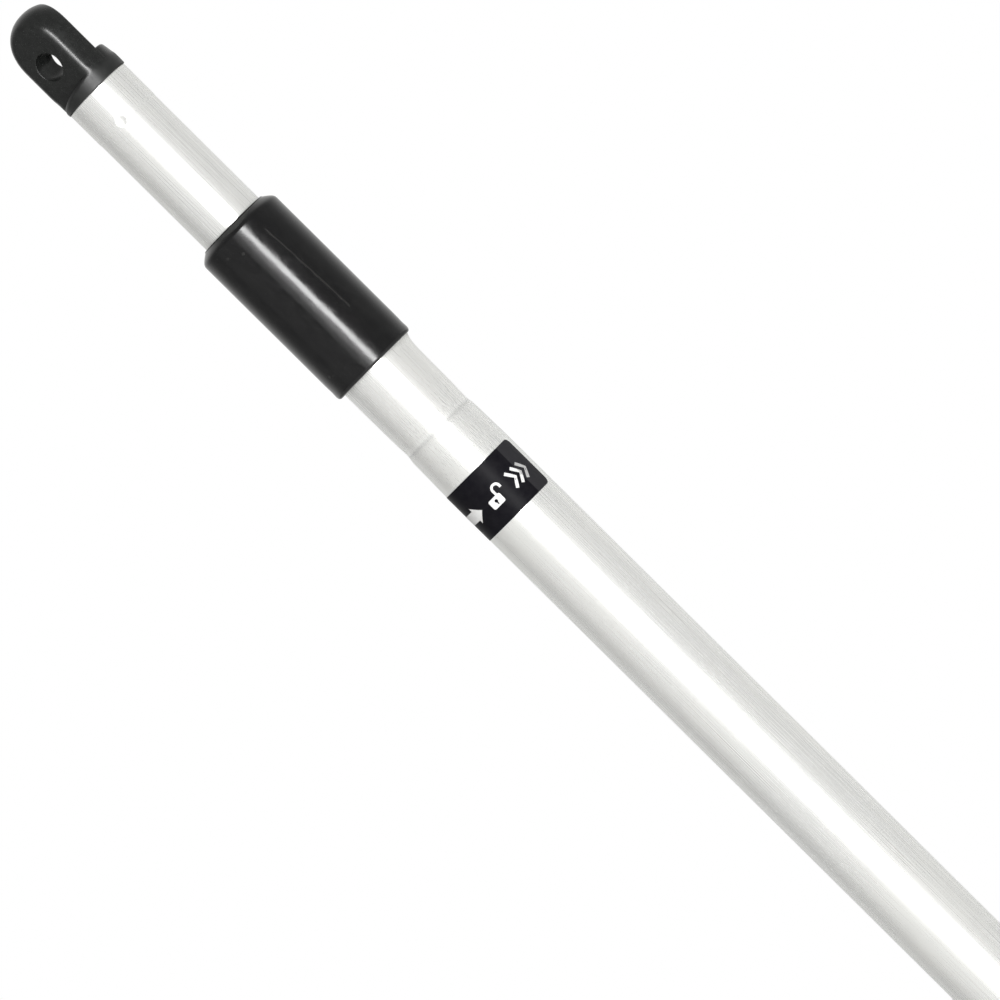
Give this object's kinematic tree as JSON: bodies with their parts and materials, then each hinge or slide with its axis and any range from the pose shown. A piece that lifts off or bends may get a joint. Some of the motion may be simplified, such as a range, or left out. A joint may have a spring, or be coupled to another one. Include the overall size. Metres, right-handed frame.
{
  "type": "roller extension pole",
  "caption": "Telescoping aluminium roller pole with an internal twist lock, vinyl grip sleeve, black hanging-eye cap and a threaded tip for a paint roller or other tool.",
  "frame": {"origin": "centre of the annular seat that the tool's socket stops on, at the top of the tool screw", "axes": "+Z along the pole from the tool end to the hanging eye; the hanging hole runs along Y, with the eye's front face towards -Y; +X to the right seen from the front"},
  "size_m": [0.0346, 0.0346, 1.1638],
  "materials": {
    "cap_plastic": "glossy moulded black",
    "tube_aluminium": "satin anodised, fine drawn lines along the tube",
    "sleeve_vinyl": "glossy black vinyl with light scuffs",
    "liner_plastic": "natural nylon",
    "label_film": "black printed film, semi-gloss",
    "ring_plastic": "natural nylon",
    "plug_plastic": "moulded red nylon",
    "zinc_steel": "bright zinc plate",
    "tip_plastic": "moulded black nylon",
    "rivet_aluminium": "plain blind rivet"
  },
  "bodies": {
    "outer": {"outer_tube": "tube_aluminium", "grip_sleeve": "sleeve_vinyl", "guide_bush": "liner_plastic", "label": "label_film", "threaded_tip": "tip_plastic", "tip_rivets": "rivet_aluminium"},
    "glide": {"glide_ring": "ring_plastic"},
    "inner": {"inner_tube": "tube_aluminium", "hang_cap": "cap_plastic", "cam_plug": "plug_plastic", "cam_washer": "zinc_steel", "cam_screw": "zinc_steel"},
    "cam": {"cam_ring": "ring_plastic"}
  },
  "joints": [
    {"name": "telescope", "type": "slide", "parent": "outer", "child": "glide", "axis": [0, 0, 1], "range_m": [0, 0.844]},
    {"name": "lock_twist", "type": "hinge", "parent": "glide", "child": "inner", "pos_m": [0, 0, 0.0759], "axis": [0, 0, 1], "range_deg": [-40, 40]},
    {"name": "cam_turn", "type": "hinge", "parent": "inner", "child": "cam", "pos_m": [0.0012, 0, 0.0597], "axis": [0, 0, 1], "range_deg": [-40, 40]}
  ],
  "couplings": [
    {"joint": "cam_turn", "follows": "lock_twist", "ratio": -1}
  ]
}
